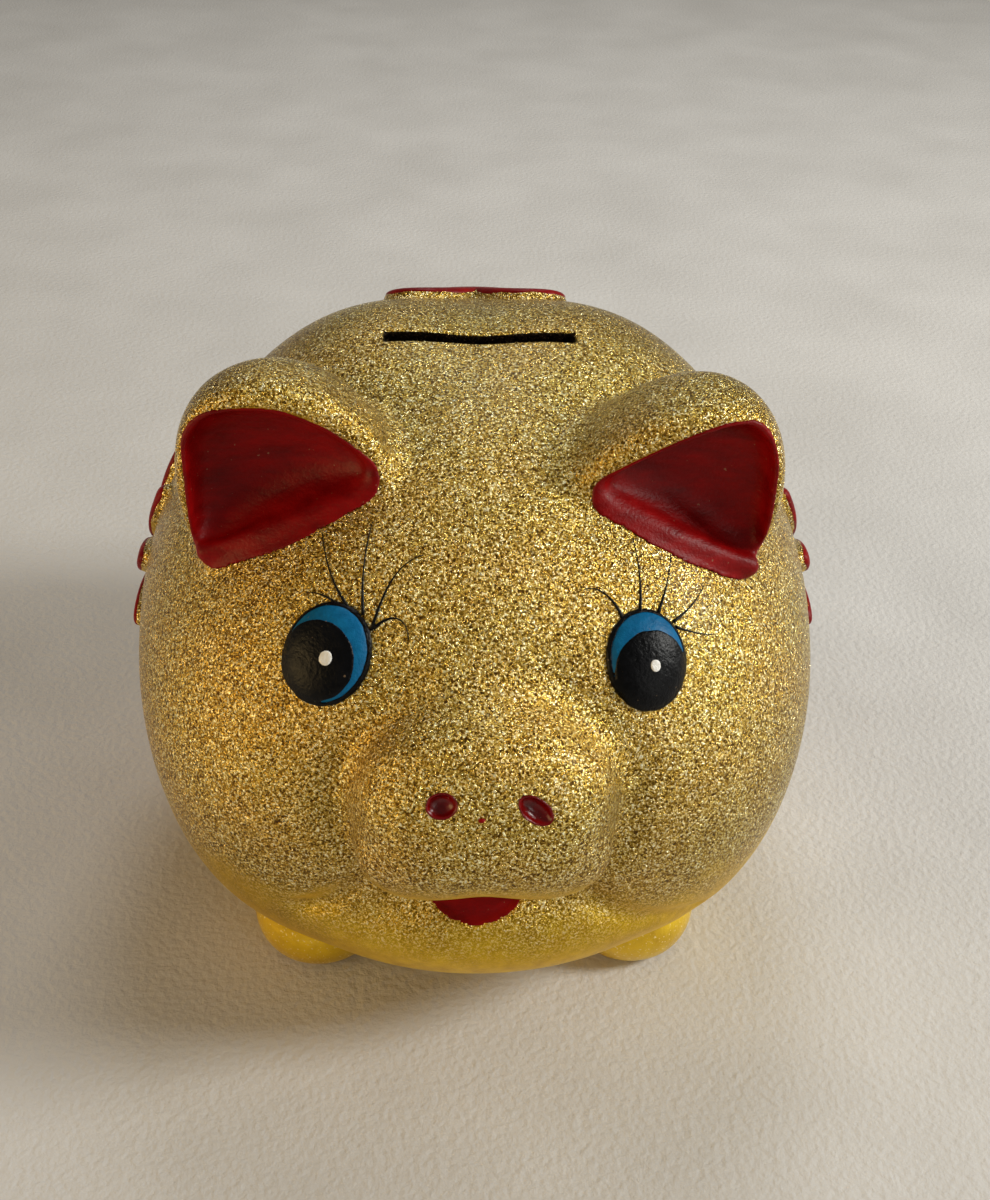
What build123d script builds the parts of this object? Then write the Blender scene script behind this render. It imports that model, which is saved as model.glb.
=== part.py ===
from build123d import *
import math
import os

# Pig money box in slip-cast earthenware: gold glitter finish, enamel coats, rubber stopper.
# Millimetres. +Z is up, the pig faces -Y and its own left side is +X.
# The origin is on the standing surface, under the middle of the bounding box.

# ---- driving dimensions ----
half_width = 67.0  # barrel of the body
half_length = 69.5
half_height = 51.0
belly_clearance = 12.5  # from the ground to the barrel
barrel_y = 5.5
wall = 4.0  # fired clay
coat = 0.4  # one enamel coat

shoulder_radii = (52.5, 39.5, 27.5)
shoulder_shift = 4.0  # behind the middle of the barrel
shoulder_rise = 3.0  # above the barrel's top
face_half_length = 56.5
face_half_height = 48.5
face_reach = 7.0  # in front of the barrel
face_clearance = 8.0
cheek_radii = (41.0, 40.0, 43.5)
cheek_inset = 4.0  # inside the barrel's side
cheek_reach = 3.5
cheek_clearance = 5.0
chin_radii = (54.0, 41.0, 25.0)
chin_reach = 7.5
chin_clearance = 7.0
snout_radii = (27.5, 19.5, 20.0)
snout_reach = 16.0
snout_z = 63.5

slot_length = 36.0  # coin slot in the top
slot_width = 4.4
slot_corner = 1.0
slot_y = 4.0

hole_radius = 16.0  # stopper hole in the belly
hole_y = 15.0
seat_rise = 2.9  # flat seat round the hole, above the barrel's lowest point
seat_margin = 4.0
seat_depth = 4.0  # clay above the seat

plug_clearance = 0.08  # radial, plug in hole
flange_gap = 0.3  # flange below its seat
flange_side_gap = 0.6
flange_thickness = 2.4
plug_reach = 1.5  # plug above the ring
plug_wall = 4.92  # rubber round the hollow under the plug
plug_roof = 2.0
tab_width = 4.0  # finger bar across the hollow
tab_height = 3.0

foot_inset = 35.0  # from the barrel's side to the middle of a foot
foot_radius = 13.0
foot_widest_z = 8.0
front_foot_setback = 27.0  # behind the barrel's front
front_foot_top = 20.0
rear_foot_y = 32.0
rear_foot_top = 32.0

nostril_x = 7.8
nostril_z = 72.0
nostril_radii = (2.9, 2.4, 2.6)

mouth_z = 41.0  # corners of the mouth
mouth_half_width = 8.0
mouth_rise = 2.0
mouth_fall = 3.6

eye_x = 26.9
eye_z = 85.2
eye_sink = 0.4  # middle of the eye behind the face's surface
eye_radii = (7.6, 8.4, 2.6)  # across, up and out of the face
eye_facing = (0.29, -0.73, 0.62)
pupil_radius = 6.6
pupil_drop = 1.6
glint_radius = 1.2
glint_lift = 1.0

ear_x = 34.5
ear_y = -26.0
ear_lift = 3.4  # middle of the ear's dome above the head's surface
ear_radii = (21.0, 17.0, 23.5)
ear_face_setback = 8.5  # opening in front of the dome's middle
ear_hollow = 2.0
ear_rim = 2.4
ear_corner = 6.5
ear_outline = [(-21.5, 3.5), (-1.5, 24.0), (18.0, 21.0), (17.0, -20.0)]  # x and z from the dome's middle

rosette_radius = 27.0
flank_petals = 12
flank_petal_length = 20.0
petal_gap = 1.7  # between neighbours on the flanks
rump_petals = 5
rump_petal_length = 26.0
rump_petal_width = 19.0
rosette_button = 9.0
relief_height = 2.4
relief_border = 0.8  # gold edge left round the enamel
flank_y = 16.0
flank_z = 60.0
rump_setback = 26.0  # middle of the rump's rosette, in front of the barrel's back

tail_rise = 0.5  # above the middle of the barrel
tail_height = 5.0
tail_width = 6.0
tail_outer_radius = 8.0
tail_inner_radius = 5.0
tail_gap = 20.0  # degrees left open at the tip of the curl

# ---- derived ----
far = 4 * half_length  # longer than any cut or blank needs to be
front_y = barrel_y - half_length
barrel_z = belly_clearance + half_height
back_z = barrel_z + half_height
seat_z = belly_clearance + seat_rise
inner_ring_z = seat_z + seat_depth
seat_radius = hole_radius + seat_margin
foot_x = half_width - foot_inset
foot_spots = {
    "front": (front_y + front_foot_setback, front_foot_top),
    "rear": (rear_foot_y, rear_foot_top),
}
flank_petal_middle = rosette_radius - flank_petal_length / 2
flank_petal_width = 2 * math.pi * flank_petal_middle / flank_petals - petal_gap

# ---- rounded masses of the body: centre and radii of each ----
barrel = ((0, barrel_y, barrel_z), (half_width, half_length, half_height))
shoulder_z = back_z + shoulder_rise - shoulder_radii[2]
shoulders = ((0, barrel_y + shoulder_shift, shoulder_z), shoulder_radii)
face_y = front_y - face_reach + face_half_length
face_z = face_clearance + face_half_height
face = ((0, face_y, face_z), (half_width, face_half_length, face_half_height))
cheek_x = half_width - cheek_inset - cheek_radii[0]
cheek_y = front_y - cheek_reach + cheek_radii[1]
cheek_z = cheek_clearance + cheek_radii[2]
left_cheek = ((cheek_x, cheek_y, cheek_z), cheek_radii)
right_cheek = ((-cheek_x, cheek_y, cheek_z), cheek_radii)
chin_y = front_y - chin_reach + chin_radii[1]
chin = ((0, chin_y, chin_clearance + chin_radii[2]), chin_radii)
snout_y = front_y - snout_reach + snout_radii[1]
snout = ((0, snout_y, snout_z), snout_radii)
body_forms = [barrel, shoulders, face, left_cheek, right_cheek, chin, snout]


# ---- shared forms ----
def ellipsoid(centre, radii, grow=0.0):
    """A solid ellipsoid, each radius made larger by grow."""
    with BuildPart() as blank:
        Sphere(1)
        scale(by=tuple(radius + grow for radius in radii))
    return Pos(*centre) * blank.part


def masses(grow=0.0):
    """The body's rounded masses, each made larger by grow."""
    return [ellipsoid(centre, radii, grow) for centre, radii in body_forms]


def skin_reach(axis, first, second):
    """How far out of its middle plane the body's skin stands along an axis, at two other coordinates.

    Gives the y of the front at x and z for axis 1, and the z of the top at x and y for axis 2."""
    facing = -1 if axis == 1 else 1
    others = [index for index in range(3) if index != axis]
    reaches = []
    for centre, radii in body_forms:
        left = 1
        for index, place in zip(others, (first, second)):
            left -= ((place - centre[index]) / radii[index]) ** 2
        if left > 0:
            reaches.append(facing * centre[axis] + radii[axis] * math.sqrt(left))
    return facing * max(reaches)


def save(piece, name):
    """Label a finished piece and write it to its own file."""
    piece.part.label = name
    export_step(piece.part, f"parts/{name}.step")


os.makedirs("parts", exist_ok=True)
sides = {"left": 1, "right": -1}

# ---- places on the skin ----
snout_slope = math.sqrt(1 - (nostril_x / snout_radii[0]) ** 2 - ((nostril_z - snout_z) / snout_radii[2]) ** 2)
nostril_y = snout_y - snout_radii[1] * snout_slope
eye_y = skin_reach(1, eye_x, eye_z) + eye_sink
ear_centre = (ear_x, ear_y, skin_reach(2, ear_x, ear_y) + ear_lift)
rump_y = barrel_y + half_length - rump_setback
rump_z = skin_reach(2, 0, rump_y)
rump_facing = (0, (rump_y - barrel_y) / half_length**2, (rump_z - barrel_z) / half_height**2)

with BuildPart() as body_blank:
    add(masses())

with BuildPart() as cavity_blank:
    add(masses(-wall))

with BuildPart() as coat_blank:
    add(masses(coat))
    add(body_blank.part, mode=Mode.SUBTRACT)


# ---- body shell ----
nostril_blanks = [ellipsoid((side * nostril_x, nostril_y, nostril_z), nostril_radii) for side in sides.values()]

with BuildPart() as ring_blank:
    with BuildSketch():
        with Locations((0, hole_y)):
            Circle(seat_radius + wall)
    extrude(amount=inner_ring_z)
    add(body_blank.part, mode=Mode.INTERSECT)

with BuildPart() as body_shell:
    add(body_blank.part)
    add(cavity_blank.part, mode=Mode.SUBTRACT)
    add(ring_blank.part)
    with BuildSketch():
        with Locations((0, hole_y)):
            Circle(seat_radius)
    extrude(amount=seat_z, mode=Mode.SUBTRACT)
    with BuildSketch():
        with Locations((0, hole_y)):
            Circle(hole_radius)
    extrude(amount=barrel_z, mode=Mode.SUBTRACT)
    with BuildSketch(Plane.XY.offset(barrel_z)):
        with Locations((0, slot_y)):
            RectangleRounded(slot_length, slot_width, slot_corner)
    extrude(amount=far, mode=Mode.SUBTRACT)
    add(nostril_blanks, mode=Mode.SUBTRACT)
save(body_shell, "body_shell")


# ---- stopper: flange below the belly, hollow plug in the hole, finger bar ----
flange_top = seat_z - flange_gap
flange_bottom = flange_top - flange_thickness
plug_top = inner_ring_z + plug_reach
plug_radius = hole_radius - plug_clearance
plug_core_radius = plug_radius - plug_wall

with BuildPart() as stopper:
    with BuildSketch(Plane.XY.offset(flange_bottom)):
        with Locations((0, hole_y)):
            Circle(seat_radius - flange_side_gap)
    extrude(amount=flange_thickness)
    with BuildSketch(Plane.XY.offset(flange_top)):
        with Locations((0, hole_y)):
            Circle(plug_radius)
    extrude(amount=plug_top - flange_top)
    plug_rim = stopper.edges().filter_by(GeomType.CIRCLE).group_by(Axis.Z)[-1]
    chamfer(plug_rim, length=plug_reach / 2)
    with BuildSketch(Plane.XY.offset(flange_bottom)):
        with Locations((0, hole_y)):
            Circle(plug_core_radius)
    extrude(amount=plug_top - plug_roof - flange_bottom, mode=Mode.SUBTRACT)
    with BuildSketch(Plane.XY.offset(flange_bottom)):
        with Locations((0, hole_y)):
            Rectangle(2 * plug_core_radius + tab_width, tab_width)
    extrude(amount=tab_height)
save(stopper, "stopper")


# ---- feet ----
for end, (foot_y, foot_top) in foot_spots.items():
    for side_name, side in sides.items():
        foot_rise = foot_top - foot_widest_z
        foot_blank = ellipsoid((side * foot_x, foot_y, foot_widest_z), (foot_radius, foot_radius, foot_rise))
        with BuildPart() as foot:
            add(foot_blank)
            split(bisect_by=Plane.XY, keep=Keep.TOP)
            add(body_blank.part, mode=Mode.SUBTRACT)
        save(foot, f"{end}_{side_name}_foot")


# ---- ears: a dome behind a flat opening, with enamel on the floor of its hollow ----
opening = Plane(origin=(ear_x, ear_y - ear_face_setback, ear_centre[2]), x_dir=(1, 0, 0), z_dir=(0, -1, 0))
ear_dome = ellipsoid(ear_centre, ear_radii)
ear_bowl = ellipsoid(ear_centre, ear_radii, -ear_rim)


def draw_ear(inset=0.0):
    """Draw the ear's outline in the open sketch, drawn in by inset."""
    Polygon(*ear_outline, align=None)
    fillet(vertices(), ear_corner)
    if inset:
        offset(amount=-inset, mode=Mode.REPLACE)


with BuildPart() as hollow_blank:
    with BuildSketch(opening):
        draw_ear(ear_rim)
    extrude(amount=-ear_hollow)
    add(ear_bowl, mode=Mode.INTERSECT)

with BuildPart() as enamel_blank:
    with BuildSketch(opening.offset(coat - ear_hollow)):
        draw_ear(ear_rim)
    extrude(amount=-coat)
    add(ear_bowl, mode=Mode.INTERSECT)

with BuildPart() as left_ear:
    with BuildSketch(opening):
        draw_ear()
    extrude(amount=-far)
    add(ear_dome, mode=Mode.INTERSECT)
    add(hollow_blank.part, mode=Mode.SUBTRACT)
    add(body_blank.part, mode=Mode.SUBTRACT)
save(left_ear, "left_ear")

with BuildPart() as left_ear_enamel:
    add(enamel_blank.part)
    add(body_blank.part, mode=Mode.SUBTRACT)
save(left_ear_enamel, "left_ear_enamel")

with BuildPart() as right_ear:
    mirror(left_ear.part, about=Plane.YZ)
save(right_ear, "right_ear")

with BuildPart() as right_ear_enamel:
    mirror(left_ear_enamel.part, about=Plane.YZ)
save(right_ear_enamel, "right_ear_enamel")


# ---- eyes: a low clay boss, blue enamel round a black pupil, a white glint on top ----
for side_name, side in sides.items():
    facing = Plane(
        origin=(side * eye_x, eye_y, eye_z),
        x_dir=(-eye_facing[1], side * eye_facing[0], 0),
        z_dir=(side * eye_facing[0], eye_facing[1], eye_facing[2]),
    )
    eye_forms = [facing.location * ellipsoid((0, 0, 0), eye_radii, layers * coat) for layers in range(3)]
    boss_form, first_form, second_form = eye_forms

    with BuildPart() as pupil_prism:
        with BuildSketch(facing):
            with Locations((0, -pupil_drop)):
                Circle(pupil_radius)
        extrude(amount=far)

    with BuildPart() as glint_prism:
        with BuildSketch(facing):
            with Locations((0, glint_lift - pupil_drop)):
                Circle(glint_radius)
        extrude(amount=far)

    with BuildPart() as eye_boss:
        add(boss_form)
        add(body_blank.part, mode=Mode.SUBTRACT)
    save(eye_boss, f"{side_name}_eye_boss")

    with BuildPart() as eye_coat:
        add(first_form)
        add(boss_form, mode=Mode.SUBTRACT)
        add(body_blank.part, mode=Mode.SUBTRACT)

    with BuildPart() as iris:
        add(eye_coat.part)
        add(pupil_prism.part, mode=Mode.SUBTRACT)
    save(iris, f"{side_name}_iris_enamel")

    with BuildPart() as pupil:
        add(eye_coat.part)
        add(pupil_prism.part, mode=Mode.INTERSECT)
    save(pupil, f"{side_name}_pupil_enamel")

    with BuildPart() as glint:
        add(second_form)
        add(first_form, mode=Mode.SUBTRACT)
        add(glint_prism.part, mode=Mode.INTERSECT)
    save(glint, f"{side_name}_eye_glint")


# ---- nostril and mouth enamel ----
for side_name, side in sides.items():
    centre = (side * nostril_x, nostril_y, nostril_z)
    with BuildPart() as nostril:
        add(ellipsoid(centre, nostril_radii))
        add(body_blank.part, mode=Mode.INTERSECT)
        add(ellipsoid(centre, nostril_radii, -coat), mode=Mode.SUBTRACT)
    save(nostril, f"{side_name}_nostril_enamel")

with BuildPart() as mouth:
    with BuildSketch(Plane.XZ):
        with BuildLine():
            corner_left = (-mouth_half_width, mouth_z)
            corner_right = (mouth_half_width, mouth_z)
            ThreePointArc(corner_left, (0, mouth_z + mouth_rise), corner_right)
            ThreePointArc(corner_left, (0, mouth_z - mouth_fall), corner_right)
        make_face()
    extrude(amount=far)
    add(coat_blank.part, mode=Mode.INTERSECT)
save(mouth, "mouth_enamel")


# ---- rosette reliefs on both flanks and the rump ----
with BuildPart() as relief_form:
    add(masses(relief_height))

with BuildPart() as relief_coat_form:
    add(masses(relief_height + coat))


def rosette(plane, petals, border=0.0):
    """A round flower standing out from a plane; petals is their number, length and width."""
    count, length, width = petals
    with BuildPart() as flower:
        with BuildSketch(plane):
            Circle(rosette_button - border)
            with PolarLocations(rosette_radius - length / 2, count, start_angle=90):
                Ellipse(length / 2 - border, width / 2 - border)
        extrude(amount=far)
    return flower.part


flank_flower = (flank_petals, flank_petal_length, flank_petal_width)
rump_flower = (rump_petals, rump_petal_length, rump_petal_width)
left_flank = Plane(origin=(0, flank_y, flank_z), x_dir=(0, 1, 0), z_dir=(1, 0, 0))
right_flank = Plane(origin=(0, flank_y, flank_z), x_dir=(0, -1, 0), z_dir=(-1, 0, 0))
rump = Plane(origin=(0, rump_y / 2, barrel_z), x_dir=(1, 0, 0), z_dir=rump_facing)
rosettes = {
    "left_flank": (left_flank, flank_flower),
    "right_flank": (right_flank, flank_flower),
    "rump": (rump, rump_flower),
}

for place, (plane, petals) in rosettes.items():
    with BuildPart() as relief:
        add(rosette(plane, petals))
        add(relief_form.part, mode=Mode.INTERSECT)
        add(body_blank.part, mode=Mode.SUBTRACT)
    save(relief, f"{place}_rosette")

    with BuildPart() as relief_enamel:
        add(rosette(plane, petals, relief_border))
        add(relief_coat_form.part, mode=Mode.INTERSECT)
        add(relief_form.part, mode=Mode.SUBTRACT)
    save(relief_enamel, f"{place}_rosette_enamel")


# ---- tail: a curl laid flat on the rump ----
with BuildPart() as tail:
    with BuildSketch(Plane(origin=(0, barrel_y, barrel_z + tail_rise), x_dir=(-1, 0, 0), z_dir=(0, 1, 0))):
        with BuildLine() as curl:
            CenterArc((0, 0), tail_outer_radius, tail_gap, 180 - tail_gap)
        SlotArc(curl.line.edge(), tail_width)
        with BuildLine() as hook:
            CenterArc((tail_inner_radius - tail_outer_radius, 0), tail_inner_radius, 180, 180)
        SlotArc(hook.line.edge(), tail_width)
    extrude(amount=far)
    add(ellipsoid(*barrel, tail_height), mode=Mode.INTERSECT)
    add(body_blank.part, mode=Mode.SUBTRACT)
save(tail, "tail")
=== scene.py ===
import math

import bmesh
import bpy
import numpy as np
import openvdb
from mathutils import Matrix, Vector


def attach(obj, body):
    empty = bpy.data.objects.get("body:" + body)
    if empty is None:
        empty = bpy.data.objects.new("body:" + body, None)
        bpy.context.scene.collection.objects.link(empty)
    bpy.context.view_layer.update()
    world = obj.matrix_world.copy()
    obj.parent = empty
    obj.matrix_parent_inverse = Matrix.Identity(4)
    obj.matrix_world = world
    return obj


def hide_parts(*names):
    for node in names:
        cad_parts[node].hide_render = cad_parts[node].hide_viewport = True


# Pig money box. The forms are sculpted as distance fields in millimetres, in the CAD frame:
# +Z up, the pig faces -Y, its own left side is +X. A field is negative inside its form.

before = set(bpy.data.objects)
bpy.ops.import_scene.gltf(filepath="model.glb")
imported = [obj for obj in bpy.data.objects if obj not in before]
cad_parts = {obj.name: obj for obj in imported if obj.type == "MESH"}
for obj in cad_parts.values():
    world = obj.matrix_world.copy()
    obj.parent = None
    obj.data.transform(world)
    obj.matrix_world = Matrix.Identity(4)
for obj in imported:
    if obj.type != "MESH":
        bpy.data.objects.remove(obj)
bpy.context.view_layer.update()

MM = 0.001

# ---- sizes ----
wall = 4.0  # fired clay
slot_middle_y = 4.0
slot_half = (18.0, 1.5)  # half the coin slot's length and width
slot_corner = 0.8
slot_floor = 90.0  # lower end of the cut, inside the chamber
hole_y, hole_radius = 15.0, 16.0  # stopper hole
seat_radius = 20.0  # flat seat round the hole
seat_z, ring_z = 15.4, 19.4  # underside and top of the clay round the hole
hole_top = 30.0  # upper end of the cut, inside the chamber
foot_x = 32.0
foot_radius = 13.4
foot_widest_z = 8.0
foot_ends = {"front": (-37.8, 20.0), "rear": (32.0, 32.0)}  # y of the middle, and z of the top
rosette_radius = 27.0

# ---- rounded masses of the body, each a centre and its radii; one off the middle stands for a pair ----
barrel = ((0, 6, 64), (65.75, 68, 51))
face_mass = ((0, -17, 56), (64, 47.3, 43.7))
cheek = ((24.5, -30, 45.5), (36.3, 36.3, 40))
shoulder = ((17.25, 11, 85.3), (30, 30, 30.7))
chin = ((0, -31, 31.5), (51.7, 41, 24.2))
snout = ((0, -62, 65), (23.6, 21, 17.6))
upper_lip = ((10.3, -67, 55), (13.4, 10.6, 9.2))
snout_front_y, snout_front_z = -78.6, 66  # a place on the snout's flattened front
snout_front_facing = (-0.955, 0.296)  # y and z of its unit normal

# ---- grooves pressed into the face: paths, depths and widths ----
cheek_creases = [
    [(-20.0, -69.0, 47.5), (-23.6, -67.5, 43.0), (-28.2, -66.0, 38.5), (-32.0, -64.0, 36.0)],
    [(17.5, -69.0, 45.5), (20.4, -67.5, 40.0), (25.0, -67.0, 35.5), (30.0, -65.0, 32.5), (42.0, -56.0, 25.5)],
]
crease_depth, crease_width = 1.4, 2.3
muzzle_valley = [
    (19.5, -69.5, 49.0), (24.5, -67.5, 56.0), (26.0, -66.0, 65.0), (22.5, -64.0, 75.0), (13.0, -61.0, 84.0),
]
valley_depth, valley_width = 1.5, 3.4
mouth_depth = 0.9


# ---- field tools ----
def ellipsoid(p, centre, radii):
    """Distance to an ellipsoid, close to true near its surface."""
    r = np.array(radii, np.float32)
    d = (p - np.array(centre, np.float32)) / r
    k0 = np.sqrt((d * d).sum(-1)) + 1e-6
    d /= r
    k1 = np.sqrt((d * d).sum(-1)) + 1e-6
    return k0 * (k0 - 1) / k1


def join(a, b, k):
    """Union with a fillet about k wide."""
    h = np.clip(0.5 + 0.5 * (b - a) / k, 0, 1)
    return b + (a - b) * h - k * h * (1 - h)


def meet(a, b, k):
    """Intersection with a rounded edge about k wide."""
    return -join(-a, -b, k)


def mirrored(p):
    """The same points folded onto the pig's left side, with a soft fold down the middle."""
    q = p.copy()
    q[..., 0] = np.sqrt(q[..., 0] ** 2 + 10)
    return q


def to_local(p, origin, axes):
    """Points in the frame of three unit axes at an origin."""
    return (p - np.array(origin, np.float32)) @ np.array(axes, np.float32).T


def facing_axes(normal, turn=0.0):
    """Across, up and out axes of a patch that faces along normal, turned in its own plane."""
    out = Vector(normal).normalized()
    across = Vector((-out.y, out.x, 0)).normalized()
    up = out.cross(across)
    c, s = math.cos(turn), math.sin(turn)
    return [list(across * c + up * s), list(up * c - across * s), list(out)]


def soft_polygon(points, corners, rounding):
    """About the distance in a plane to a convex polygon, its corners eased by rounding."""
    middle = np.mean(corners, axis=0)
    d = None
    for (ax, ay), (bx, by) in zip(corners, corners[1:] + corners[:1]):
        normal = np.array((by - ay, ax - bx), np.float32)
        normal /= np.linalg.norm(normal)
        offset = normal @ np.array((ax, ay), np.float32)
        if normal @ middle > offset:
            normal, offset = -normal, -offset
        side = points @ normal - offset
        d = side if d is None else meet(d, side, rounding)
    return d


def ripple(p, size, seed):
    """A smooth random field from -1 to 1 made of a few waves, for hand-made edges."""
    draw = np.random.default_rng(seed)
    total = np.zeros(p.shape[:-1], np.float32)
    waves = 7
    for _ in range(waves):
        direction = draw.normal(size=3)
        direction *= 2 * math.pi / (size * draw.uniform(0.7, 1.6) * np.linalg.norm(direction))
        total += np.sin(p @ direction.astype(np.float32) + draw.uniform(0, 6.28))
    return total / waves


# ---- the pig's forms ----
def rise(x, low, high):
    """A smooth step from 0 at low to 1 at high."""
    t = np.clip((x - low) / (high - low), 0, 1)
    return t * t * (3 - 2 * t)


def from_path(p, path):
    """Distance to a chain of straight runs."""
    nearest = np.full(p.shape[:-1], 1e9, np.float32)
    for a, b in zip(path, path[1:]):
        a, run = np.array(a, np.float32), np.array(b, np.float32) - np.array(a, np.float32)
        t = np.clip((p - a) @ run / (run @ run), 0, 1)[..., None]
        nearest = np.minimum(nearest, np.sqrt((((p - a) - t * run) ** 2).sum(-1)))
    return nearest


def lens(p):
    """The mouth's outline, seen from the front: where two discs cross."""
    mouth_x, mouth_back = -1.0, -55
    top_disc_z, top_disc_radius = 26.6, 17.0
    low_disc_z, low_disc_radius = 48.2, 10.9
    x, z = p[..., 0] - mouth_x, p[..., 2]
    top = np.hypot(x, z - top_disc_z) - top_disc_radius
    low = np.hypot(x, z - low_disc_z) - low_disc_radius
    return np.maximum(np.maximum(top, low), p[..., 1] - mouth_back)


def head(p):
    """Barrel, face, cheeks, shoulders, chin and snout, without ears, eyes and feet."""
    q = mirrored(p)
    d = ellipsoid(q, *barrel)
    for mass, fillet in ((face_mass, 14), (cheek, 12), (shoulder, 8), (chin, 3)):
        d = join(d, ellipsoid(q, *mass), fillet)
    lean_y, lean_z = snout_front_facing
    front = lean_y * (p[..., 1] - snout_front_y) + lean_z * (p[..., 2] - snout_front_z)
    nose = meet(ellipsoid(q, *snout), front, 6.0)
    nose = join(nose, ellipsoid(q, *upper_lip), 4.5)
    sharp_fillet, soft_fillet = 1.6, 5.2  # under the lip, and on top of the snout
    d = join(d, nose, sharp_fillet + (soft_fillet - sharp_fillet) * rise(p[..., 2], 46, 66))
    if p[..., 1].min() < -50:  # the grooves are all in front of this
        for path in cheek_creases:
            d = d + crease_depth * np.exp(-((from_path(p, path) / crease_width) ** 2))
        d = d + valley_depth * np.exp(-((from_path(q, muzzle_valley) / valley_width) ** 2))
        d = d + mouth_depth * rise(-lens(p), -0.5, 1.2)
    return d


def slot_field(p):
    """The coin slot, a straight-sided cut through the top."""
    dx = np.abs(p[..., 0]) - slot_half[0] + slot_corner
    dy = np.abs(p[..., 1] - slot_middle_y) - slot_half[1] + slot_corner
    side = np.hypot(np.maximum(dx, 0), np.maximum(dy, 0)) + np.minimum(np.maximum(dx, dy), 0) - slot_corner
    return np.maximum(side, slot_floor - p[..., 2])


def on_skin(point, out=None):
    """The nearest place on the head's skin and its normal, or the place straight along out."""
    p = np.array([point], np.float32)
    step = 0.05
    moves = step * np.eye(3, dtype=np.float32)
    for _ in range(12):
        slope = np.array([[head(p + move)[0] - head(p - move)[0] for move in moves]]) * (0.5 / step)
        along = slope / np.linalg.norm(slope) if out is None else np.array([out])
        p = (p - head(p)[0] * along / (slope @ along[0])[0]).astype(np.float32)
    return p[0], (slope / np.linalg.norm(slope))[0]


class Pit:
    """A nostril: an egg-shaped pit in the snout, turned in the plane of the skin."""

    def __init__(self, place, radii, turn):
        self.origin, out = on_skin(place)
        self.axes = facing_axes(out, turn)
        self.radii = radii

    def field(self, p, grow=0.0):
        """The pit itself, made larger all round by grow."""
        across, up = self.radii
        q = to_local(p, self.origin, self.axes)
        return ellipsoid(q, (0, 0, 0.3), (across + grow, up + grow, 1.9 + grow))


pits = {
    "left": Pit((8.1, -77.5, 71.6), (3.3, 1.9), -0.75),
    "right": Pit((-7.4, -77.2, 72.5), (2.5, 2.1), 0.25),
}


def face(p):
    """The head with its nostrils."""
    d = head(p)
    for pit in pits.values():
        d = meet(d, -pit.field(p), 0.5)
    return d


def shell(p):
    """The hollow clay body with its slot, seat ring and stopper hole."""
    skin = face(p) if p[..., 1].min() < -60 else head(p)
    d = meet(skin, -(head(p) + wall), 0.8)
    across = np.hypot(p[..., 0], p[..., 1] - hole_y)
    ring = np.maximum(np.maximum(across - seat_radius - wall, p[..., 2] - ring_z), skin + 0.2)
    d = join(d, ring, 1.0)
    d = meet(d, -np.maximum(across - seat_radius, p[..., 2] - seat_z), 0.6)
    d = meet(d, -np.maximum(across - hole_radius, p[..., 2] - hole_top), 0.6)
    d = meet(d, -slot_field(p), 0.9)
    return d


def rooted(p, form, fillet, low=0.15, deep=1.5):
    """A form standing on the head, with its fillet feathered out under the skin."""
    skin = head(p)
    return np.maximum(join(skin + low, form, fillet), -(skin + deep))


def coat(skin, region, proud, edge=0.2, deep=0.8):
    """A coat of paint a little proud of a skin, within a region."""
    return meet(meet(skin - proud, region, edge), -(skin + deep), 0.1)


# ---- meshing ----
def sculpt(name, field, low, high, voxel, refine=()):
    """A closed quad mesh of a field's zero surface, settled exactly onto it."""
    low, high = np.array(low, np.float32), np.array(high, np.float32)
    steps = [np.arange(a, b + voxel, voxel, dtype=np.float32) for a, b in zip(low, high)]
    values = np.empty([len(s) for s in steps], np.float32)
    for i, x in enumerate(steps[0]):
        sheet = np.stack(np.meshgrid([x], steps[1], steps[2], indexing="ij"), -1)[0]
        values[i] = field(sheet)
    grid = openvdb.FloatGrid(1.0)
    grid.copyFromArray(values / voxel)
    points, quads = grid.convertToQuads(0.0)
    points = settle(points.astype(np.float32) * voxel + low, field, voxel)
    mesh = bpy.data.meshes.new(name)
    mesh.from_pydata((points * MM).tolist(), [], quads[:, ::-1].tolist())
    for box in refine:
        subdivide(mesh, box, field, voxel)
    mesh.validate()
    mesh.shade_smooth()
    return bpy.data.objects.new(name, mesh)


def settle(points, field, voxel):
    """Moves points along the field's slope until they lie on its zero surface."""
    step = 0.15 * voxel
    for _ in range(4):
        moves = step * np.eye(3, dtype=np.float32)
        slope = np.stack([field(points + move) - field(points - move) for move in moves], -1)
        slope /= 2 * step
        shift = field(points)[..., None] * slope / ((slope * slope).sum(-1, keepdims=True) + 1e-3)
        points = points - np.clip(shift, -0.5 * voxel, 0.5 * voxel)
    return points


def subdivide(mesh, box, field, voxel):
    """Splits the quads within a box twice, for a crisp lip, and settles them again."""
    low, high = [Vector(corner) * MM for corner in box]

    def within(vertex):
        return all(a <= c <= b for a, c, b in zip(low, vertex.co, high))

    bm = bmesh.new()
    bm.from_mesh(mesh)
    for _ in range(2):
        edges = [edge for edge in bm.edges if all(within(vertex) for vertex in edge.verts)]
        bmesh.ops.subdivide_edges(bm, edges=edges, cuts=1, use_grid_fill=True)
    inside = [vertex for vertex in bm.verts if within(vertex)]
    points = np.array([vertex.co for vertex in inside], np.float32) / MM
    points = settle(points, field, voxel / 4)
    for vertex, point in zip(inside, points):
        vertex.co = point * MM
    bm.to_mesh(mesh)
    bm.free()


def show(obj, material, body, *nodes, slot=None):
    """Puts a finished piece in the scene in place of its CAD nodes."""
    bpy.context.scene.collection.objects.link(obj)
    obj.data.materials.append(material)
    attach(obj, body)
    if nodes:
        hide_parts(*nodes)
    return obj


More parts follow.
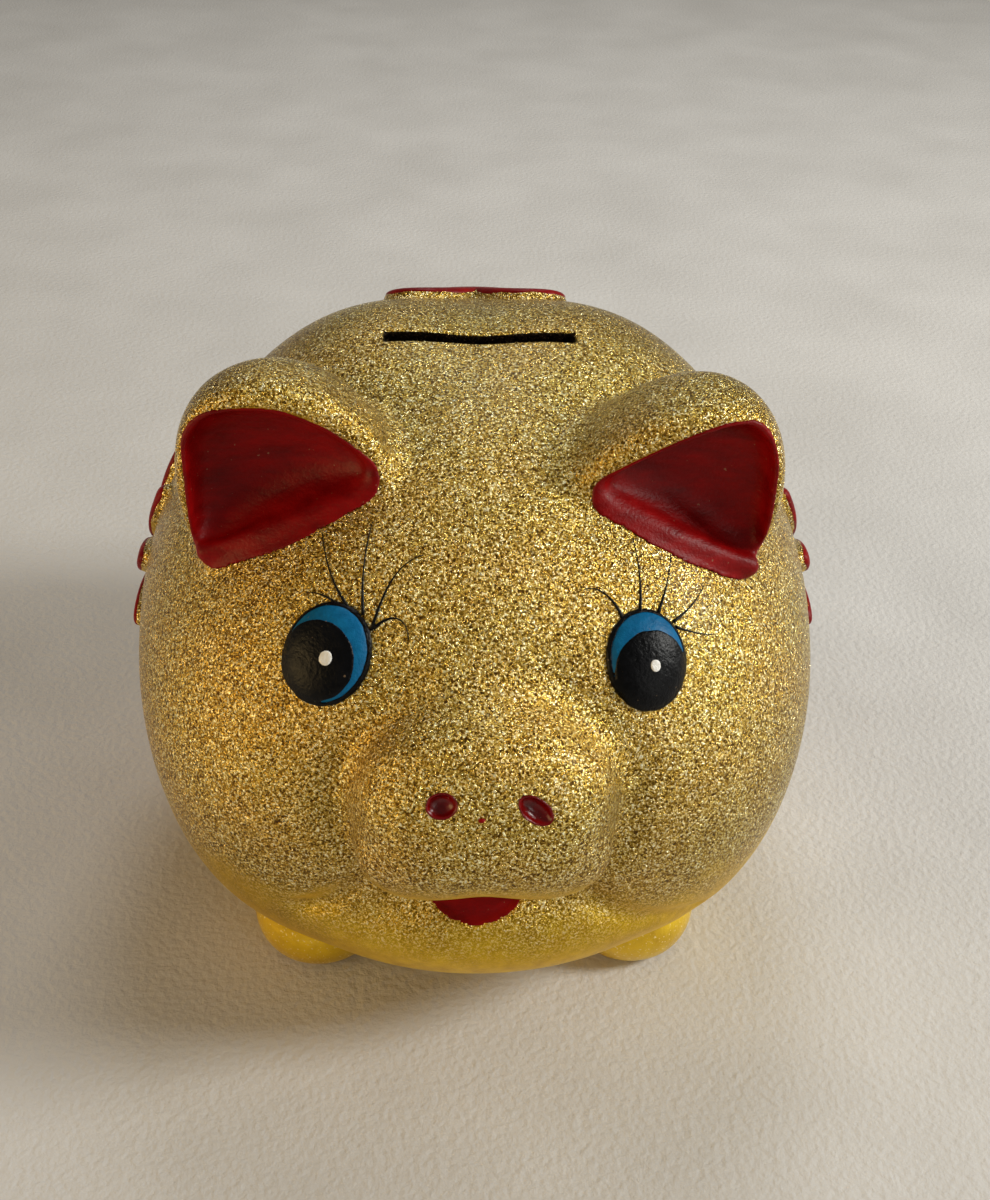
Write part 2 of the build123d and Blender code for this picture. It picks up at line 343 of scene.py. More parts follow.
# ---- materials ----
class Nodes:
    """A short way to write a node material."""

    def __init__(self, name):
        self.material = bpy.data.materials.new(name)
        self.material.use_nodes = True
        self.tree = self.material.node_tree
        self.shader = self.tree.nodes["Principled BSDF"]
        coordinates = self.add("ShaderNodeTexCoord")
        scale = self.add("ShaderNodeVectorMath", operation="SCALE")
        self.link(coordinates.outputs["Object"], scale.inputs[0])
        scale.inputs["Scale"].default_value = 1 / MM
        self.place = scale.outputs[0]  # millimetres

    def add(self, kind, **settings):
        node = self.tree.nodes.new(kind)
        for key, value in settings.items():
            setattr(node, key, value)
        return node

    def link(self, a, b):
        self.tree.links.new(a, b)

    def feed(self, output, name):
        """Joins an output to one of the shader's sockets."""
        self.link(output, self.shader.inputs[name])

    def set(self, **values):
        """Gives the shader's sockets plain values."""
        for key, value in values.items():
            self.shader.inputs[key.replace("_", " ")].default_value = value

    def noise(self, scale, detail=2.0, roughness=0.5, stretch=None, distortion=0.0):
        """Noise with scale features to the millimetre."""
        node = self.add("ShaderNodeTexNoise")
        node.inputs["Distortion"].default_value = distortion
        node.inputs["Scale"].default_value = scale
        node.inputs["Detail"].default_value = detail
        node.inputs["Roughness"].default_value = roughness
        place = self.place
        if stretch:
            squeeze = self.add("ShaderNodeVectorMath", operation="MULTIPLY")
            squeeze.inputs[1].default_value = stretch
            self.link(self.place, squeeze.inputs[0])
            place = squeeze.outputs[0]
        self.link(place, node.inputs["Vector"])
        return node.outputs["Fac"]

    def flakes(self, scale):
        """Cells with scale of them to the millimetre, each with a colour of its own."""
        node = self.add("ShaderNodeTexVoronoi")
        node.inputs["Scale"].default_value = scale
        self.link(self.place, node.inputs["Vector"])
        return node

    def ramp(self, factor, *stops):
        """A blend through colours, each stop a position and its colour."""
        node = self.add("ShaderNodeValToRGB")
        band = node.color_ramp
        while len(band.elements) < len(stops):
            band.elements.new(0.5)
        for element, (position, colour) in zip(band.elements, stops):
            element.position = position
            element.color = (*colour, 1)
        self.link(factor, node.inputs[0])
        return node.outputs[0]

    def mix(self, factor, a, b, blend="MIX"):
        node = self.add("ShaderNodeMix", data_type="RGBA", blend_type=blend)
        for value, socket in ((factor, node.inputs[0]), (a, node.inputs[6]), (b, node.inputs[7])):
            if hasattr(value, "links"):
                self.link(value, socket)
            else:
                socket.default_value = value if isinstance(value, float) else (*value, 1)
        return node.outputs[2]

    def math(self, operation, a, b=0.0):
        node = self.add("ShaderNodeMath", operation=operation)
        for value, socket in ((a, node.inputs[0]), (b, node.inputs[1])):
            if hasattr(value, "links"):
                self.link(value, socket)
            else:
                socket.default_value = value
        return node.outputs[0]

    def span(self, value, low, high):
        """A value spread from 0 at low to 1 at high."""
        node = self.add("ShaderNodeMapRange", interpolation_type="SMOOTHSTEP")
        self.link(value, node.inputs[0])
        node.inputs[1].default_value = low
        node.inputs[2].default_value = high
        return node.outputs[0]

    def bump(self, height, depth, before=None):
        """A surface raised by height, depth millimetres at its most, on top of an earlier bump."""
        node = self.add("ShaderNodeBump")
        node.inputs["Distance"].default_value = depth * MM
        self.link(height, node.inputs["Height"])
        if before:
            self.link(before, node.inputs["Normal"])
        return node.outputs[0]

    def tilt(self, colour, amount, before):
        """Leans the surface normal by a random colour, one lean for each flake."""
        centred = self.add("ShaderNodeVectorMath", operation="SUBTRACT")
        self.link(colour, centred.inputs[0])
        centred.inputs[1].default_value = (0.5, 0.5, 0.5)
        scaled = self.add("ShaderNodeVectorMath", operation="SCALE")
        self.link(centred.outputs[0], scaled.inputs[0])
        scaled.inputs["Scale"].default_value = amount
        added = self.add("ShaderNodeVectorMath", operation="ADD")
        self.link(before, added.inputs[0])
        self.link(scaled.outputs[0], added.inputs[1])
        unit = self.add("ShaderNodeVectorMath", operation="NORMALIZE")
        self.link(added.outputs[0], unit.inputs[0])
        return unit.outputs[0]


def surface_masks(n):
    """How much glitter the surface carries: full on top, thin under the belly and low on the chin."""
    geometry = n.add("ShaderNodeNewGeometry")
    lean = n.add("ShaderNodeSeparateXYZ")
    n.link(geometry.outputs["Normal"], lean.inputs[0])
    height = n.add("ShaderNodeSeparateXYZ")
    n.link(n.place, height.inputs[0])
    uneven = n.math("MULTIPLY", n.math("SUBTRACT", n.noise(0.09, 3.0), 0.5), 0.7)
    facing_up = n.span(n.math("ADD", lean.outputs[2], uneven), -0.62, -0.08)
    high = n.span(n.math("ADD", height.outputs[2], n.math("MULTIPLY", uneven, 16.0)), 22.0, 46.0)
    return n.math("MULTIPLY", facing_up, high)


def slot_shade_mask(n):
    """One on the coin slot's walls near the top, where near-black painted shade stands for the dark inside
    the slot.
    """
    place = n.add("ShaderNodeSeparateXYZ")
    n.link(n.place, place.inputs[0])
    along = n.math("LESS_THAN", n.math("ABSOLUTE", place.outputs[0]), slot_half[0] + 0.1)
    across = n.math("ABSOLUTE", n.math("SUBTRACT", place.outputs[1], slot_middle_y))
    across = n.math("LESS_THAN", across, slot_half[1] + 0.12)
    dark_above = 105.0
    top = n.math("GREATER_THAN", place.outputs[2], dark_above)
    return n.math("MULTIPLY", n.math("MULTIPLY", along, across), top)


def gold_glitter():
    """Gold glitter paint: crumpled flakes half a millimetre long on top, satin yellow below; the flakes'
    colour carries painted shade in their hollows and painted glints on their crests, and the slot's walls
    carry painted shade.
    """
    n = Nodes("gold_glitter")
    glitter = surface_masks(n)
    worms = n.noise(2.3, 2.0, 0.55, distortion=0.8)
    fine = n.noise(4.2, 1.0, 0.5)
    cells = n.flakes(2.6)
    shade = n.add("ShaderNodeSeparateColor")
    n.link(cells.outputs["Color"], shade.inputs[0])
    # Painted shade and highlight: the flake colour follows the same worms noise as the bump, near black in
    # its hollows and near white on its crests.
    flake = n.ramp(
        worms,
        (0.36, (0.07, 0.028, 0.002)),
        (0.48, (0.38, 0.22, 0.022)),
        (0.57, (0.78, 0.58, 0.15)),
        (0.66, (1.0, 0.97, 0.76)),
    )
    tint = n.ramp(n.noise(0.05, 3.0), (0.35, (1.0, 0.90, 0.70)), (0.65, (0.96, 1.0, 0.86)))
    flake = n.mix(0.6, flake, tint, "MULTIPLY")
    satin = n.ramp(n.noise(0.35, 4.0, 0.6), (0.3, (0.66, 0.40, 0.010)), (0.7, (0.86, 0.58, 0.025)))
    painted = n.mix(glitter, satin, flake)
    # Painted shade: the slot's walls near the top are coloured near black for the dark inside the slot.
    n.feed(n.mix(slot_shade_mask(n), painted, (0.012, 0.007, 0.003)), "Base Color")
    rough = n.mix(shade.outputs[1], (0.20, 0.20, 0.20), (0.38, 0.38, 0.38))
    n.feed(n.mix(glitter, (0.42, 0.42, 0.42), rough), "Roughness")
    depth = n.math("ADD", n.math("MULTIPLY", glitter, 0.85), 0.15)
    ground = n.bump(n.math("MULTIPLY", worms, depth), 0.36)
    ground = n.bump(n.math("MULTIPLY", fine, depth), 0.10, ground)
    lean = n.tilt(cells.outputs["Color"], 0.26, ground)
    mixed = n.add("ShaderNodeMix", data_type="VECTOR")
    n.link(glitter, mixed.inputs[0])
    n.link(ground, mixed.inputs[4])
    n.link(lean, mixed.inputs[5])
    n.feed(mixed.outputs[1], "Normal")
    n.set(Metallic=0.95, Coat_Weight=0.04, Coat_Roughness=0.25)
    return n.material


def ochre_gold():
    """Satin ochre paint on the feet, with few flakes in it."""
    n = Nodes("ochre_gold")
    cloud = n.noise(0.16, 4.0)
    colour = n.ramp(cloud, (0.3, (0.60, 0.36, 0.004)), (0.7, (0.86, 0.58, 0.012)))
    spark = n.ramp(n.noise(1.9, 1.0, 0.5), (0.66, (0, 0, 0)), (0.72, (1, 1, 1)))
    n.feed(n.mix(spark, colour, (1.0, 0.86, 0.38)), "Base Color")
    n.feed(n.bump(n.noise(0.5, 4.0, 0.6), 0.25), "Normal")
    n.set(Metallic=0.45, Roughness=0.34, Coat_Weight=0.3, Coat_Roughness=0.2)
    return n.material


def enamel(name, dark, light, grain, roughness, stroke=(1, 1, 1), coat_weight=0.25):
    """Brushed enamel: streaks along the stroke, a skin of fine bumps and a few bright specks."""
    n = Nodes(name)
    streak = n.noise(grain, 4.0, 0.6, stroke)
    colour = n.ramp(streak, (0.3, dark), (0.7, light))
    spark = n.ramp(n.noise(1.3, 1.0, 0.5), (0.76, (0, 0, 0)), (0.80, (0.5, 0.5, 0.5)))
    n.feed(n.mix(spark, colour, (0.30, 0.20, 0.12)), "Base Color")
    smooth, rough = (roughness - 0.08,) * 3, (roughness + 0.1,) * 3
    n.feed(n.ramp(streak, (0.3, smooth), (0.8, rough)), "Roughness")
    skin = n.bump(n.noise(1.6, 3.0, 0.6), 0.12)
    n.feed(n.bump(streak, 0.18, skin), "Normal")
    n.set(Coat_Weight=coat_weight, Coat_Roughness=0.2, Specular_IOR_Level=0.14)
    return n.material


def rubber():
    """Matte moulded black rubber."""
    n = Nodes("rubber")
    n.feed(n.ramp(n.noise(0.3, 3.0), (0.3, (0.02, 0.02, 0.02)), (0.7, (0.05, 0.05, 0.048))), "Base Color")
    n.feed(n.bump(n.noise(2.5, 2.0), 0.05), "Normal")
    n.set(Roughness=0.62)
    return n.material


def pale_cloth():
    """The pale woven cloth under the pig."""
    n = Nodes("pale_cloth")
    n.feed(n.ramp(n.noise(0.02, 3.0), (0.3, (0.55, 0.53, 0.50)), (0.7, (0.62, 0.60, 0.57))), "Base Color")
    n.feed(n.bump(n.noise(0.6, 3.0), 0.4), "Normal")
    n.set(Roughness=0.9)
    return n.material


gold = gold_glitter()
ochre = ochre_gold()
red = enamel("red_enamel", (0.125, 0.0002, 0.0004), (0.25, 0.0004, 0.0008), 0.25, 0.42, (0.5, 1.0, 1.4), 0.0)
wet_red = enamel("wet_red_enamel", (0.10, 0.0003, 0.0004), (0.20, 0.0006, 0.0008), 0.6, 0.2, coat_weight=0.4)
blue = enamel("blue_enamel", (0.0008, 0.09, 0.22), (0.002, 0.14, 0.32), 0.5, 0.45, coat_weight=0.04)
black = enamel("black_enamel", (0.0004, 0.0006, 0.001), (0.0016, 0.0018, 0.003), 0.6, 0.34, coat_weight=0.0)
white = enamel("white_enamel", (0.78, 0.76, 0.70), (0.92, 0.91, 0.87), 0.8, 0.3)
bung = rubber()

# ---- body ----
slot_box = ((-21, slot_middle_y - 5, 108), (21, slot_middle_y + 5, 121))
nostrils_box = ((-13, -84, 66), (13, -70, 78))
mouth_box = ((-12, -78, 34), (10, -60, 48))
crisp = [slot_box, nostrils_box, mouth_box]
body = sculpt("body_shell", shell, (-71, -84, 3), (71, 78, 121), 1.1, refine=crisp)
show(body, gold, "pig", "body_shell", slot="gold_glitter")


# ---- ears ----
class Ear:
    """A hood-shaped ear on one side. Places are given as on the pig's left, and mirrored for the right."""

    bowl_radii = (19, 8.0, 20)
    rim = 4.6  # clay round the red inside
    reach = (29, 25, 31)  # half sizes of the egg that the piece ends in

    def __init__(self, side, dome_height, face_y, corners, lip):
        self.side = side
        self.dome = ((34.5, -26, 104), (20.0, 17, dome_height))
        self.face_y = face_y  # of the flat opening
        self.corners = corners  # of the red inside, as x and z
        self.lip = lip  # thickness of the roll along the lower edge

    def outline(self, q, grow):
        """The opening's outline, seen from the front."""
        return soft_polygon(q[..., [0, 2]], self.corners, 6.0) - grow

    def alone(self, q):
        """A dome with a round-edged opening in front and a bowl in it."""
        outer = meet(ellipsoid(q, *self.dome), self.outline(q, self.rim), 7)
        d = meet(outer, self.face_y - q[..., 1], 3.0)
        bowl = ellipsoid(q, (37, self.face_y - 1.0, 104), self.bowl_radii)
        return meet(d, -meet(bowl, self.outline(q, -0.8), 2.5), 1.6)

    def with_head(self, q, sink=0.0):
        """The ear on the head, with the roll of clay along its lower edge."""
        skin = join(head(q) + sink, self.alone(q), 4.5)
        inner, tip = self.corners[0], self.corners[-1]
        roll = from_path(q, [
            (inner[0] + 4.5, self.face_y + 2.0, inner[1] - 1.4),
            (0.5 * (inner[0] + tip[0]), self.face_y + 0.3, 0.5 * (inner[1] + tip[1]) + 1.6),
            (tip[0] - 2.5, self.face_y + 0.5, tip[1] + 4.5),
        ])
        return join(skin, roll - self.lip, 1.8)

    def local(self, p):
        """The same points as if on the pig's left."""
        return p * np.array([self.side, 1, 1], np.float32)

    def piece(self, p):
        """The clay of the ear, with its root under the head's skin."""
        q = self.local(p)
        around = ellipsoid(q, (34, -26, 104), self.reach)
        return np.maximum(np.maximum(self.with_head(q, 0.15), -(head(q) + 1.5)), around)

    def enamel(self, p):
        """The red inside, with a hand-painted edge."""
        q = self.local(p)
        region = self.outline(q, 0.0) + 0.35 * ripple(p, 9, 3) + 0.12 * ripple(p, 2.5, 4)
        region = np.maximum(region, np.abs(q[..., 1] - self.face_y - 4) - 9)
        return coat(self.with_head(q), region, 0.14, 0.25, 0.9)


left_corners = [(15.5, 105.0), (31.0, 116.6), (45.4, 120.6), (50.6, 116.0), (50.5, 85.5)]
right_corners = [(15.5, 105.6), (25.0, 117.0), (41.0, 121.6), (51.2, 117.0), (51.6, 86.5)]
ears = {
    "left": Ear(1, 20.7, -34.5, left_corners, 1.3),
    "right": Ear(-1, 23.2, -31.8, right_corners, 0.9),
}
for side_name, ear in ears.items():
    low, high = sorted((8 * ear.side, 60 * ear.side))
    box = ((low, -50, 78), (high, -2, 132))
    show(
        sculpt(f"{side_name}_ear", ear.piece, *box, 0.6),
        gold, "pig", f"{side_name}_ear", slot="gold_glitter",
    )
    show(
        sculpt(f"{side_name}_ear_enamel", ear.enamel, (low, -44, 80), (high, -20, 126), 0.4),
        red, "pig", f"{side_name}_ear_enamel", slot="red_enamel",
    )


# ---- eyes ----
lash_root, lash_tip = 0.33, 0.10  # radii


class Eye:
    """A low boss with blue enamel, a black pupil and outline, a white glint and painted lashes."""

    fillet = 0.7
    sink, thickness = 0.8, 3.0  # of the boss's middle under the skin, and half the boss

    def __init__(self, place, turn, radii, pupil, glint):
        self.origin = on_skin(place)[0]
        self.axes = facing_axes((0.29 * np.sign(place[0]), -0.73, 0.62), turn)
        self.radii = radii
        self.pupil = pupil  # centre and radii on the eye's plane
        self.glint = glint  # centre and radius

    def boss(self, p):
        """The low clay dome by itself."""
        q = to_local(p, self.origin, self.axes)
        return ellipsoid(q, (0, 0, -self.sink), (*self.radii, self.thickness))

    def skin(self, p):
        """The head with the dome on it."""
        return join(head(p), self.boss(p), self.fillet)

    def oval(self, p, centre, radii):
        """An oval on the eye, seen along its own facing."""
        q = to_local(p, self.origin, self.axes)[..., :2] - np.array(centre, np.float32)
        return ellipsoid(q, (0, 0), radii)

    def clay(self, p):
        """The boss, with its root under the head's skin."""
        around = self.oval(p, (0, 0), [r + 3 for r in self.radii])
        return np.maximum(rooted(p, self.boss(p), self.fillet), around)

    def iris(self, p):
        """Blue over nearly the whole eye."""
        return coat(self.skin(p), self.oval(p, (0, 0), [r - 0.35 for r in self.radii]), 0.1)

    def ink(self, p):
        """The pupil and the outline round the eye, with a brush's wobble."""
        ring = np.abs(self.oval(p, (0, 0), [r - 0.1 for r in self.radii])) - 0.34
        region = np.minimum(self.oval(p, *self.pupil), ring) + 0.14 * ripple(p, 2.6, 5)
        return coat(self.skin(p), region, 0.22, 0.2, 0.7)

    def dot(self, p):
        """The glint, on top of the ink."""
        centre, radius = self.glint
        region = self.oval(p, centre, (radius, 1.1 * radius)) + 0.08 * ripple(p, 1.2, 6)
        return coat(self.skin(p), region, 0.36)

    def lashes(self, name, strokes):
        """Thin tapered strokes of black, each a curve led by its points on the eye's plane."""
        verts, faces = [], []
        for stroke in strokes:
            tube(self.stroke_line(stroke), lash_root, lash_tip, verts, faces)
        mesh = bpy.data.meshes.new(name)
        mesh.from_pydata((np.array(verts) * MM).tolist(), [], faces)
        mesh.shade_smooth()
        return bpy.data.objects.new(name, mesh)

    def stroke_line(self, stroke):
        """Places along a stroke, laid on the eye and the face round it."""
        count = 18
        flat = np.array([curve_point(stroke, i / (count - 1)) for i in range(count)])
        line = self.origin + flat[:, :1] * self.axes[0] + flat[:, 1:] * self.axes[1]
        line = line.astype(np.float32)
        out = np.array(self.axes[2], np.float32)
        for _ in range(12):
            line = line - self.skin(line)[:, None] * out * 0.9
        return line


def curve_point(points, t):
    """A point on the Bezier curve of the given control points."""
    points = [np.array(p, float) for p in points]
    while len(points) > 1:
        points = [a + (b - a) * t for a, b in zip(points, points[1:])]
    return points[0]


def tube(line, thick, thin, verts, faces):
    """A closed tapered tube along a line, its thick end round."""
    sides = 8
    start = len(verts)
    for i, point in enumerate(line):
        t = i / (len(line) - 1)
        before, after = line[max(i - 1, 0)], line[min(i + 1, len(line) - 1)]
        along = (after - before) / np.linalg.norm(after - before)
        side = np.cross(along, (0, -0.7, 0.7))
        side /= np.linalg.norm(side)
        other = np.cross(along, side)
        radius = thin + (thick - thin) * (1 - t) ** 2.2
        for k in range(sides):
            angle = 2 * math.pi * k / sides
            verts.append(point + radius * (math.cos(angle) * side + math.sin(angle) * other))
    rings = len(line)
    for i in range(rings - 1):
        for k in range(sides):
            a, b = start + i * sides + k, start + i * sides + (k + 1) % sides
            faces.append((a, b, b + sides, a + sides))
    faces.append(tuple(start + k for k in reversed(range(sides))))
    faces.append(tuple(start + (rings - 1) * sides + k for k in range(sides)))


eyes = {
    "left": Eye((27.6, -53.9, 84.5), -0.12, (7.2, 8.5), ((0.2, -1.7), (6.7, 6.6)), ((0.3, -1.1), 0.95)),
    "right": Eye((-26.6, -53.4, 85.5), -0.14, (7.6, 8.7), ((-0.9, -1.6), (6.8, 6.9)), ((1.0, -0.5), 1.15)),
}
lash_strokes = {
    "left": [
        [(-3.5, 7.6), (-4.6, 11.5), (-7.0, 13.6), (-9.7, 13.0)],
        [(-0.1, 8.2), (1.6, 14.0), (1.5, 21.1)],
        [(3.4, 7.8), (6.6, 12.6), (8.3, 17.5)],
        [(6.0, 5.9), (10.7, 8.0), (13.8, 11.5)],
        [(6.3, 5.0), (9.9, 3.4), (13.5, 2.9)],
    ],
    "right": [
        [(-1.7, 8.3), (-4.5, 9.4), (-7.9, 8.2)],
        [(0.4, 8.6), (-5.2, 11.8), (-9.7, 18.4)],
        [(3.5, 8.3), (-0.4, 15.6), (-2.1, 23.4)],
        [(5.8, 6.4), (5.2, 13.0), (5.0, 18.5), (8.8, 21.3)],
        [(6.1, 6.8), (8.0, 11.2), (11.0, 10.4), (12.3, 7.2)],
    ],
}
for side_name, eye in eyes.items():
    middle = eye.origin
    box = (middle - 12, middle + 12)
    node = f"{side_name}_eye_boss"
    show(sculpt(node, eye.clay, *box, 0.3), gold, "pig", node, slot="gold_glitter")
    coats = (
        ("iris_enamel", eye.iris, blue, "blue_enamel"),
        ("pupil_enamel", eye.ink, black, "black_enamel"),
        ("eye_glint", eye.dot, white, "white_enamel"),
    )
    for part, field, paint, slot_name in coats:
        node = f"{side_name}_{part}"
        show(sculpt(node, field, *box, 0.22), paint, "pig", node, slot=slot_name)
    show(eye.lashes(f"{side_name}_lashes", lash_strokes[side_name]), black, "pig", slot="black_enamel")


# ---- nostrils and mouth ----
for side_name, pit in pits.items():
    def nostril_coat(p, pit=pit):
        region = pit.field(p, 0.25) + 0.12 * ripple(p, 2.2, 8)
        return coat(face(p), region, 0.12, 0.2, 0.8)

    node = f"{side_name}_nostril_enamel"
    nostril = sculpt(node, nostril_coat, pit.origin - 5, pit.origin + 5, 0.2)
    show(nostril, wet_red, "pig", node, slot="red_enamel")


def mouth_coat(p):
    """Red paint in the pressed mouth."""
    return coat(head(p), lens(p) + 0.12 * ripple(p, 3, 9), 0.12, 0.2, 0.8)


mouth = sculpt("mouth_enamel", mouth_coat, (-12, -80, 32), (10, -60, 50), 0.3)
show(mouth, red, "pig", "mouth_enamel", slot="red_enamel")


# ---- feet ----
def foot_field(p, centre, top):
    """A round-bottomed foot with a flat sole, filleted into the belly."""
    depth = np.where(p[..., 2] < foot_widest_z, 12.0, top - foot_widest_z)
    q = p - np.array((*centre, foot_widest_z), np.float32)
    q = np.stack([q[..., 0], q[..., 1], q[..., 2] * foot_radius / depth], -1)
    ball = ellipsoid(q, (0, 0, 0), (foot_radius, foot_radius, foot_radius))
    around = np.hypot(p[..., 0] - centre[0], p[..., 1] - centre[1]) - 19
    return np.maximum(rooted(p, meet(ball, -p[..., 2], 3.0), 3.0), around)


for end, (foot_y, foot_top) in foot_ends.items():
    for side_name, side in (("left", 1), ("right", -1)):
        def this_foot(p, centre=(foot_x * side, foot_y), top=foot_top):
            return foot_field(p, centre, top)

        node = f"{end}_{side_name}_foot"
        box = ((foot_x * side - 20, foot_y - 20, -1.5), (foot_x * side + 20, foot_y + 20, 36))
        show(sculpt(node, this_foot, *box, 0.7), ochre, "pig", node, slot="ochre_gold")


# ---- rosettes ----
class Rosette:
    """A flower relief on the skin, with red enamel on its petals."""

    button = 8.0  # radius of the round middle
    height = 1.9  # of the relief above the skin

    def __init__(self, origin, axes, count, length, width):
        self.origin, self.axes = origin, axes
        self.count, self.length, self.width = count, length, width  # of the petals

    def petals(self, p, border=0.0):
        """The flower's outline, seen along its own facing."""
        q = to_local(p, self.origin, self.axes)
        turn = 2 * math.pi / self.count
        angle = np.arctan2(q[..., 0], q[..., 1])
        angle -= turn * np.round(angle / turn)
        radius = np.hypot(q[..., 0], q[..., 1])
        middle = rosette_radius - self.length / 2
        flat = np.stack([radius * np.cos(angle) - middle, radius * np.sin(angle)], -1)
        petal = ellipsoid(flat, (0, 0), (self.length / 2 - border, self.width / 2 - border))
        flower = join(petal, radius - self.button + border, 1.5)
        return np.maximum(flower, -q[..., 2] - 25)

    def relief(self, p):
        """The flower's form with a round edge."""
        return meet(head(p) - self.height, self.petals(p), 2.0)

    def skin(self, p):
        """The head with the relief on it."""
        return join(head(p), self.relief(p), 0.8)

    def clay(self, p):
        """The relief, with its root under the head's skin."""
        return np.maximum(rooted(p, self.relief(p), 0.8), self.petals(p) - 3)

    def enamel(self, p):
        """Red paint with an uneven edge."""
        return coat(self.skin(p), self.petals(p, 0.3) + 0.3 * ripple(p, 5, 12), 0.12, 0.25, 0.7)


left_axes = ((0, -1, 0), (0, 0, -1), (1, 0, 0))
right_axes = ((0, 1, 0), (0, 0, -1), (-1, 0, 0))
rump_axes = ((1, 0, 0), (0, 0.857, -0.515), (0, 0.515, 0.857))
rosettes = {
    "left_flank": (Rosette((62, 16, 60), left_axes, 12, 20, 7.2), ((48, -14, 30), (71, 46, 90))),
    "right_flank": (Rosette((-62, 16, 60), right_axes, 12, 20, 7.2), ((-71, -14, 30), (-48, 46, 90))),
    "rump": (Rosette((0, 49, 103), rump_axes, 5, 26, 19), ((-30, 20, 76), (30, 76, 121))),
}
for place, (flower, box) in rosettes.items():
    node = f"{place}_rosette"
    show(sculpt(node, flower.clay, *box, 0.7), gold, "pig", node, slot="gold_glitter")
    show(sculpt(f"{node}_enamel", flower.enamel, *box, 0.5), red, "pig", f"{node}_enamel", slot="red_enamel")


# ---- tail ----
tail_z = 64.0
tail_outer, tail_inner = 8.0, 5.0  # radii of the curl's two turns
tail_proud = 1.0  # of the curl's middle line above the skin
tail_thick, tail_taper = 3.4, 0.9


def tail_line():
    """A curl on the rump: a half turn over the top and a tighter one back under it."""
    line = []
    for i in range(13):
        angle = math.radians(20 + 160 * i / 12)
        line.append((-tail_outer * math.cos(angle), tail_z + tail_outer * math.sin(angle)))
    for i in range(1, 11):
        angle = math.radians(180 + 165 * i / 10)
        across = tail_outer - tail_inner - tail_inner * math.cos(angle)
        line.append((across, tail_z + tail_inner * math.sin(angle)))
    return [tuple(on_skin((x, 74, z), (0, 1, 0))[0] + np.array((0, tail_proud, 0))) for x, z in line]


tail_path = tail_line()


def tail_field(p):
    """A rounded curl that thins towards its tip."""
    lowest = np.full(p.shape[:-1], 1e9, np.float32)
    for i, point in enumerate(tail_path):
        radius = tail_thick - tail_taper * abs(i / (len(tail_path) - 1) - 0.35)
        lowest = np.minimum(lowest, np.sqrt(((p - np.array(point, np.float32)) ** 2).sum(-1)) - radius)
    return np.maximum(rooted(p, lowest, 2.0), lowest - 4)


show(sculpt("tail", tail_field, (-16, 66, 50), (16, 81, 78), 0.6), gold, "pig", "tail", slot="gold_glitter")


# ---- stopper: heights are a middle and half a thickness ----
flange_z, flange_half, flange_radius = 13.9, 1.2, 19.4
plug_z, plug_half, plug_radius = 17.8, 3.1, 15.9
bead_z, bead_height = 17.5, 0.3  # a swelling round the plug
hollow_radius, hollow_top = 11.0, 18.9
hollow_flare_z, hollow_flare = 15, 0.15
bar_z, bar_half, bar_half_width = 14.2, 1.5, 1.9


def stopper_field(p):
    """A moulded bung: rounded flange, plug with a bead, finger bar across the hollow."""
    across, z = np.hypot(p[..., 0], p[..., 1] - hole_y), p[..., 2]
    flange = meet(np.abs(z - flange_z) - flange_half, across - flange_radius, 1.2)
    bead = across - (plug_radius - bead_height) - bead_height * np.cos((z - bead_z) * 1.2)
    plug = np.maximum(bead, np.abs(z - plug_z) - plug_half)
    d = join(flange, meet(plug, across - plug_radius, 0.6), 0.8)
    hollow = np.maximum(across - hollow_radius - hollow_flare * (hollow_flare_z - z), z - hollow_top)
    bar = np.maximum(np.abs(p[..., 1] - hole_y) - bar_half_width, across - hollow_radius - 1)
    bar = np.maximum(bar, np.abs(z - bar_z) - bar_half)
    return join(meet(d, -hollow, 0.8), bar, 0.8)


stopper = sculpt("stopper", stopper_field, (-21, -6, 11), (21, 36, 22.5), 0.45)
show(stopper, bung, "stopper", "stopper", slot="rubber")


# ---- stray specks of paint ----
specks = (
    ("black_speck", (-22.5, -69.5, 50.5), 0.35, black, "black_enamel"),
    ("red_speck", (-0.8, -79.0, 70.5), 0.4, red, "red_enamel"),
)
for name, place, radius, paint, slot_name in specks:
    middle = on_skin(place)[0]

    def speck(p, middle=middle, radius=radius):
        return ellipsoid(p, middle, (1.4 * radius, radius, radius)) + 0.1 * radius * ripple(p, 1.0, 14)

    show(sculpt(name, speck, middle - 1, middle + 1, 0.12), paint, "pig", slot=slot_name)


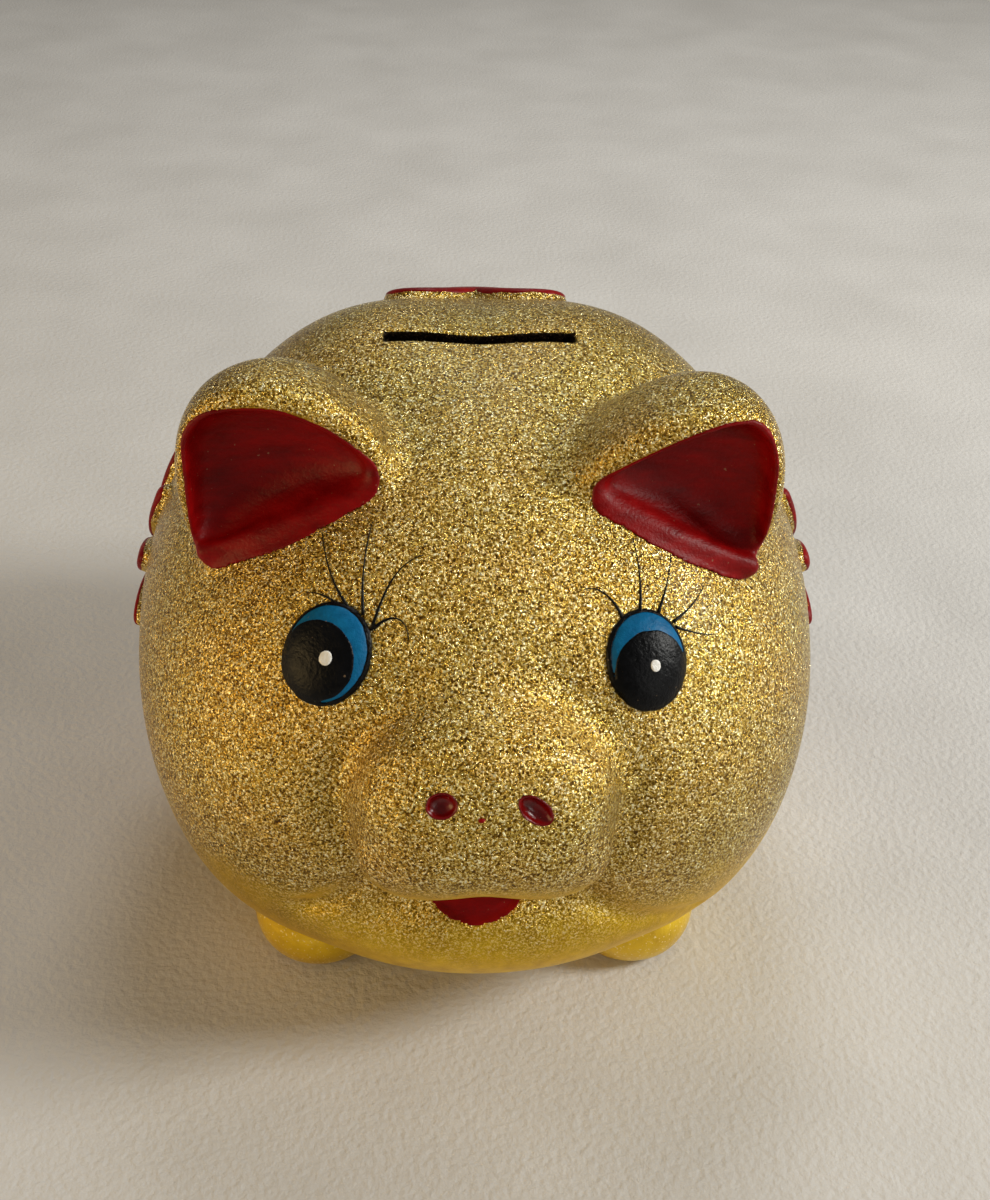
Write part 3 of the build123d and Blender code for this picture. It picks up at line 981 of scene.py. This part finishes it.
# ---- stage ----
camera_distance = 0.300
camera_elevation, camera_azimuth, camera_roll = math.radians(36.0), math.radians(-2.0), math.radians(1.2)
camera_target = Vector((0, -0.003, 0.060))
camera_data = bpy.data.cameras.new("camera")
camera_data.lens = 43.5
camera_data.clip_start = 0.01
camera = bpy.data.objects.new("camera", camera_data)
back = Vector((
    math.sin(camera_azimuth) * math.cos(camera_elevation),
    -math.cos(camera_azimuth) * math.cos(camera_elevation),
    math.sin(camera_elevation),
))
right = (-back).cross(Vector((0, 0, 1))).normalized()
up = right.cross(-back)
rolled_right = right * math.cos(camera_roll) + up * math.sin(camera_roll)
aim_aside = 0.0135  # the pig stands a little left of the picture's middle
ahead = (-back + rolled_right * aim_aside).normalized()
view_right = ahead.cross(up * math.cos(camera_roll) - right * math.sin(camera_roll)).normalized()
view_up = view_right.cross(ahead)
turn = Matrix((view_right, view_up, -ahead)).transposed()
camera.matrix_world = Matrix.Translation(camera_target + back * camera_distance) @ turn.to_4x4()
bpy.context.scene.collection.objects.link(camera)
bpy.context.scene.camera = camera

floor_mesh = bpy.data.meshes.new("floor")
floor_mesh.from_pydata([(-3, -2, 0), (3, -2, 0), (3, 4, 0), (-3, 4, 0)], [], [(0, 1, 2, 3)])
floor = bpy.data.objects.new("floor", floor_mesh)
bpy.context.scene.collection.objects.link(floor)
floor_mesh.materials.append(pale_cloth())


def area_light(name, place, aim, size, power, colour):
    """A round lamp at a place, facing its aim."""
    data = bpy.data.lights.new(name, "AREA")
    data.shape, data.size, data.energy, data.color = "DISK", size, power, colour
    light = bpy.data.objects.new(name, data)
    facing = (Vector(aim) - Vector(place)).to_track_quat("-Z", "Y")
    light.matrix_world = Matrix.Translation(place) @ facing.to_matrix().to_4x4()
    bpy.context.scene.collection.objects.link(light)


area_light("key", (0.95, -0.12, 0.62), (0, -0.02, 0.06), 0.30, 10.5, (1.0, 0.99, 0.94))
area_light("front", (0.75, -0.85, 0.30), (0, 0, 0.04), 0.35, 1.2, (1.0, 0.97, 0.90))
area_light("warm", (-0.70, -0.30, 0.16), (0, 0, 0.05), 0.50, 3.0, (1.0, 0.70, 0.30))
area_light("top", (0.05, 0.50, 0.80), (0, 0, 0.08), 0.30, 2.2, (0.96, 0.98, 1.0))
world = bpy.data.worlds.new("room")
world.use_nodes = True
world.node_tree.nodes["Background"].inputs[0].default_value = (0.84, 0.80, 0.72, 1)
world.node_tree.nodes["Background"].inputs[1].default_value = 0.24
bpy.context.scene.world = world
bpy.context.scene.view_settings.view_transform = "Standard"
